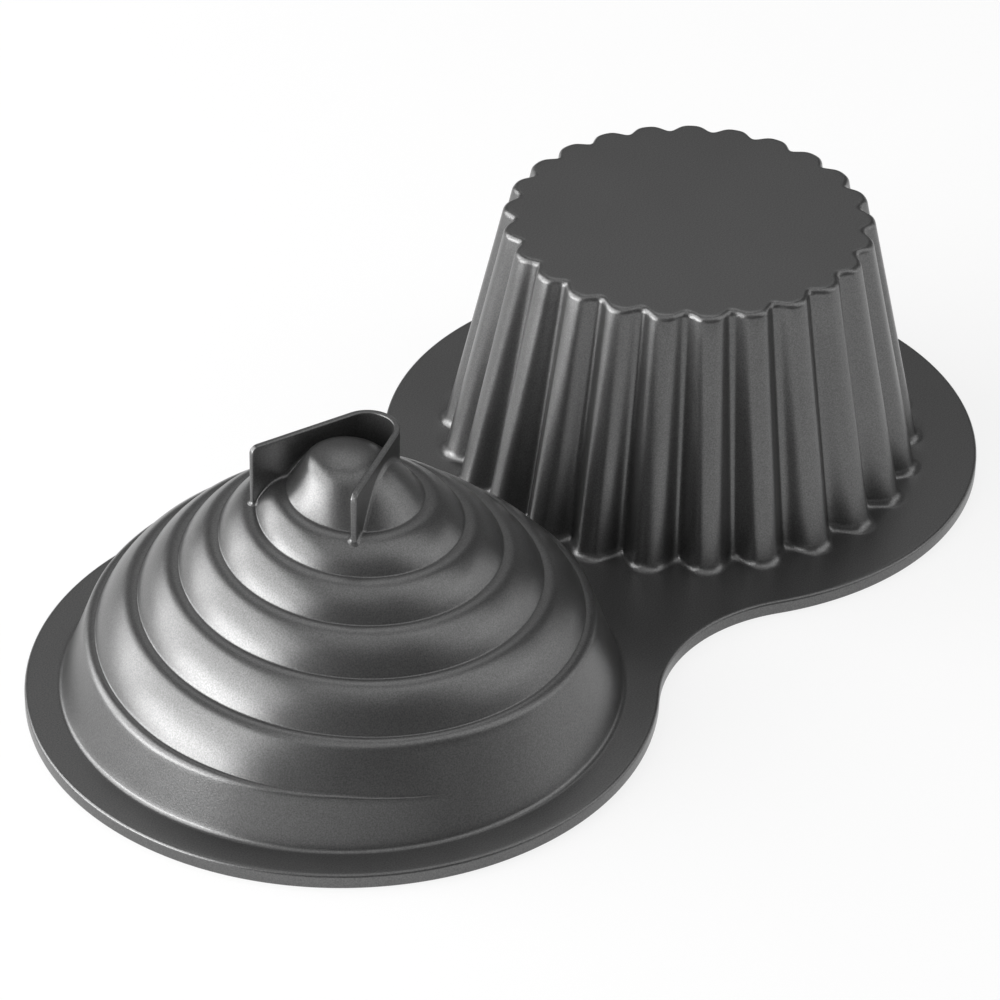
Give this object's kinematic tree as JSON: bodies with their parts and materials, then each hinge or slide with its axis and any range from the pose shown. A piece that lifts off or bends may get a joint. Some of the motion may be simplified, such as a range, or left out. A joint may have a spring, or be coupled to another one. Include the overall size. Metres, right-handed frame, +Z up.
{
  "type": "giant cupcake pan",
  "caption": "Cast baking pan standing upside down: a fluted cup mould and a stepped spiral mould side by side on a shared rim, with a bent stand wall at the spiral's tip.",
  "frame": {"origin": "middle of the pan's outline on the floor that the rim's lip rests on", "axes": "+Z up with the moulds standing up from the rim, as pictured; +X along the pan's length, from the spiral towards the cup"},
  "size_m": [0.4, 0.212, 0.096],
  "materials": {
    "flange_coat": "satin dark non-stick coat on cast aluminium",
    "mould_coat": "satin dark non-stick coat on cast aluminium",
    "stand_coat": "satin dark non-stick coat on cast aluminium"
  },
  "bodies": {
    "root": {"rim_plate": "flange_coat", "cup_mould": "mould_coat", "swirl_mould": "mould_coat", "stand_foot": "stand_coat"}
  },
  "joints": []
}
